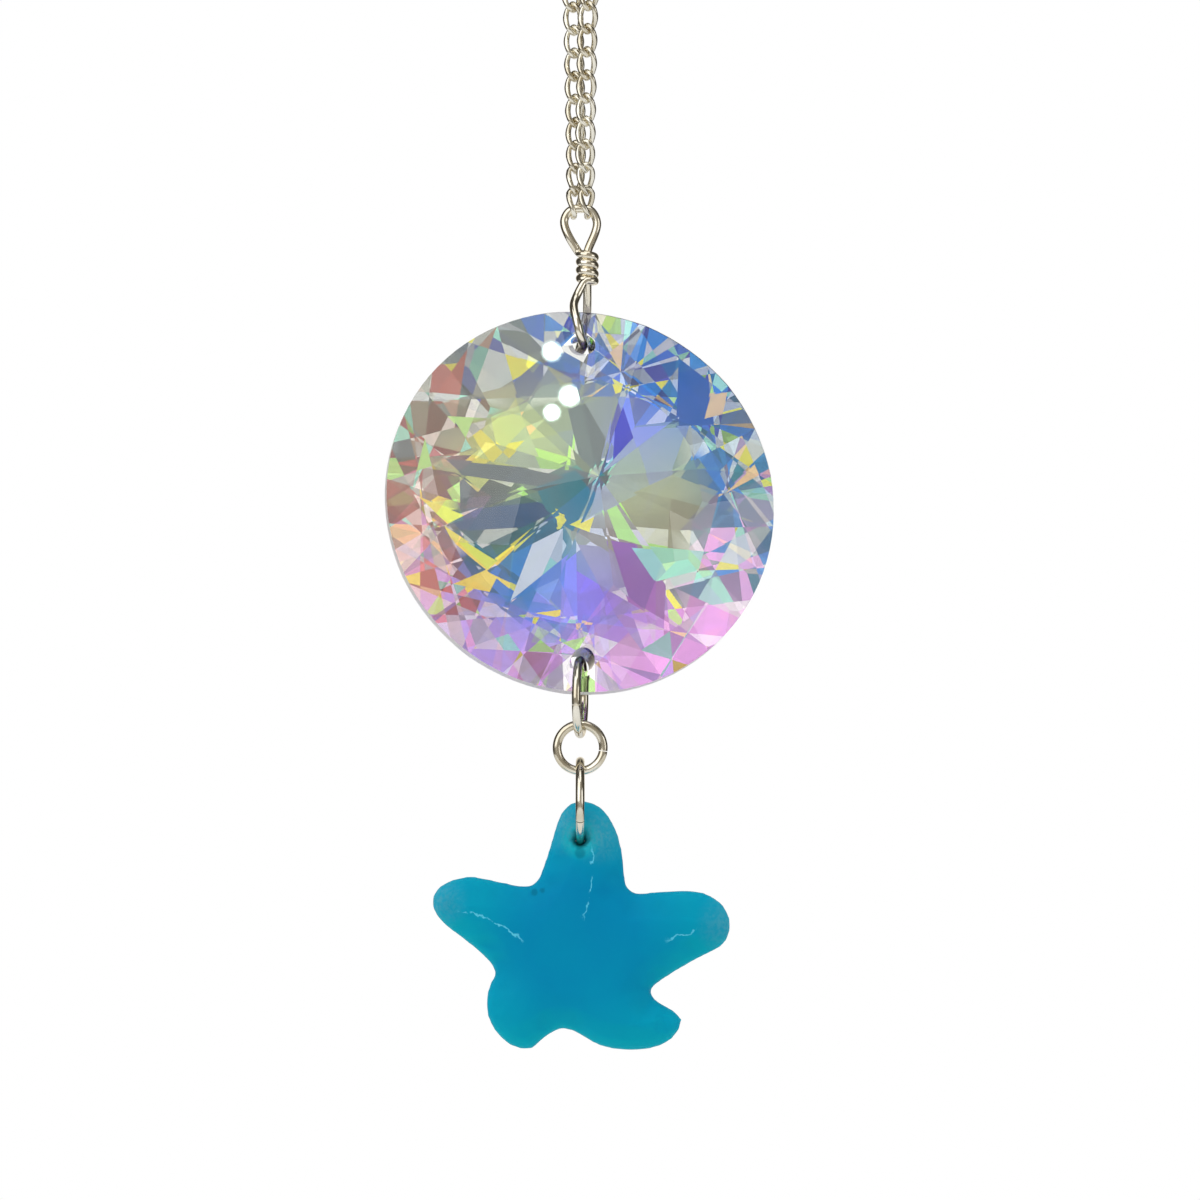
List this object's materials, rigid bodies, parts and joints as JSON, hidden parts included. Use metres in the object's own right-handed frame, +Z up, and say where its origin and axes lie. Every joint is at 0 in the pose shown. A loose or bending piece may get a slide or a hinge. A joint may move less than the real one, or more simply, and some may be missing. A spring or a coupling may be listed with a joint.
{
  "type": "crystal suncatcher",
  "caption": "Hanging suncatcher: a doubled curb chain and wrapped wire eye carry a faceted round crystal, with jump rings and a frosted glass starfish hung below it",
  "frame": {"origin": "on the underside of the chain's loop, where it rests on its hook", "axes": "+Z up, -Y towards the viewer of the front, +X to the front's right"},
  "size_m": [0.0396, 0.0166, 0.124],
  "materials": {
    "chain_silver": "bright silver-coloured chain wire",
    "wire_silver": "bright silver-coloured wire, hand wrapped",
    "ring_silver": "bright silver-coloured jump rings",
    "clear_crystal": "polished clear facets with an iridescent coating",
    "sea_glass": "frosted translucent teal glass"
  },
  "bodies": {
    "root": {"link_right_01": "chain_silver", "link_right_02": "chain_silver", "link_right_03": "chain_silver", "link_right_04": "chain_silver", "link_right_05": "chain_silver", "link_right_06": "chain_silver", "link_right_07": "chain_silver", "link_right_08": "chain_silver", "link_right_09": "chain_silver", "link_right_10": "chain_silver", "link_right_11": "chain_silver", "link_right_12": "chain_silver", "link_right_13": "chain_silver", "link_right_14": "chain_silver", "link_right_15": "chain_silver", "link_right_16": "chain_silver", "link_right_17": "chain_silver", "link_left_01": "chain_silver", "link_left_02": "chain_silver", "link_left_03": "chain_silver", "link_left_04": "chain_silver", "link_left_05": "chain_silver", "link_left_06": "chain_silver", "link_left_07": "chain_silver", "link_left_08": "chain_silver", "link_left_09": "chain_silver", "link_left_10": "chain_silver", "link_left_11": "chain_silver", "link_left_12": "chain_silver", "link_left_13": "chain_silver", "link_left_14": "chain_silver", "link_left_15": "chain_silver", "link_left_16": "chain_silver", "link_left_17": "chain_silver", "link_top": "chain_silver", "wire_eye": "wire_silver", "crystal": "clear_crystal", "crystal_ring": "ring_silver", "middle_ring": "ring_silver", "starfish_ring": "ring_silver", "starfish": "sea_glass"}
  },
  "joints": []
}
